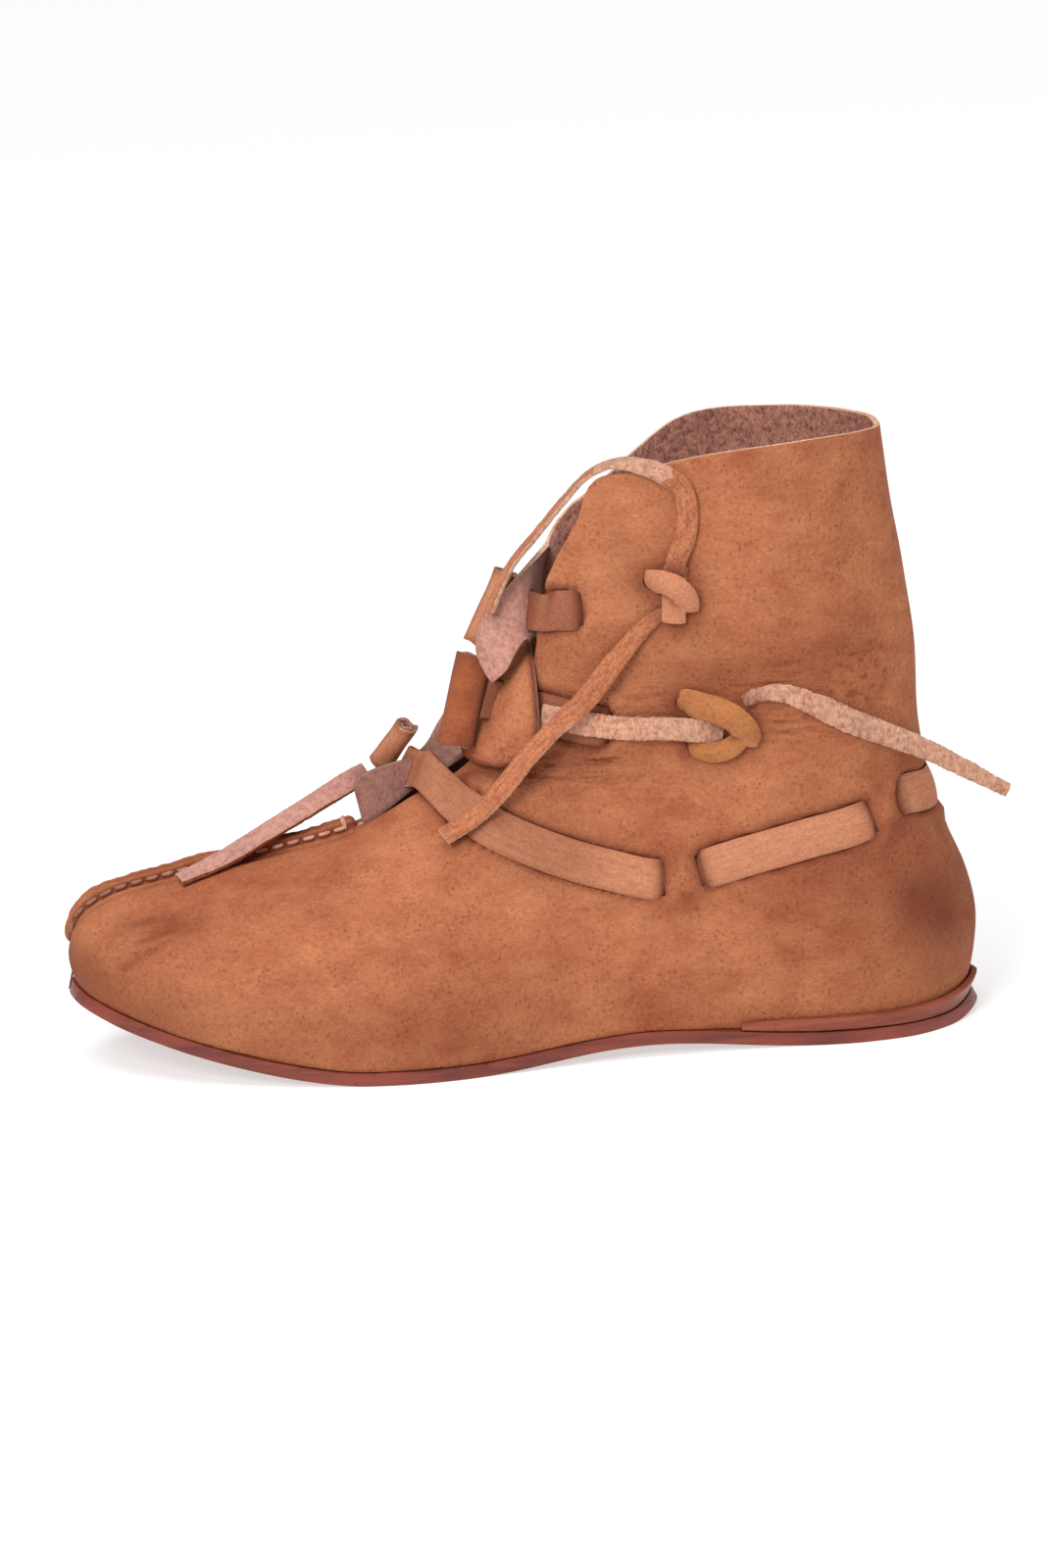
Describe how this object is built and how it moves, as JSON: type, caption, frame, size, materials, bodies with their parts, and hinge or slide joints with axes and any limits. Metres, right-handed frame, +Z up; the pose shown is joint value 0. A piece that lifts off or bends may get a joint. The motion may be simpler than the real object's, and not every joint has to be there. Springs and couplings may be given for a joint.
{
  "type": "medieval ankle shoe",
  "caption": "Soft leather ankle shoe with a thin turned sole, raised vamp seam, throat tabs with rolled toggles, a woven ankle strap and knotted thongs.",
  "frame": {"origin": "on the floor under the heel", "axes": "+Z up, toe to -X, heel to +X, outer side to -Y"},
  "size_m": [0.2943, 0.0912, 0.1871],
  "materials": {
    "upper_leather": "matt tan nubuck with fine pores and soft mottling",
    "strap_leather": "matt tan, cut edges darker",
    "toggle_leather": "matt ochre, rolled",
    "thong_leather": "matt, flesh side with a short nap",
    "sole_leather": "red brown cut edge, slightly burnished"
  },
  "bodies": {
    "root": {"sole": "sole_leather", "heel_rand": "sole_leather", "upper": "upper_leather", "ankle_strap": "strap_leather", "upper_strap": "strap_leather", "middle_strap": "strap_leather", "upper_toggle": "toggle_leather", "middle_toggle": "toggle_leather", "low_toggle": "toggle_leather", "toggle_tail": "thong_leather", "upper_lace_knot": "thong_leather", "upper_lace_over": "thong_leather", "upper_lace_down": "thong_leather", "lower_lace_knot": "thong_leather", "lower_lace_front": "thong_leather", "lower_lace_back": "thong_leather"}
  },
  "joints": []
}
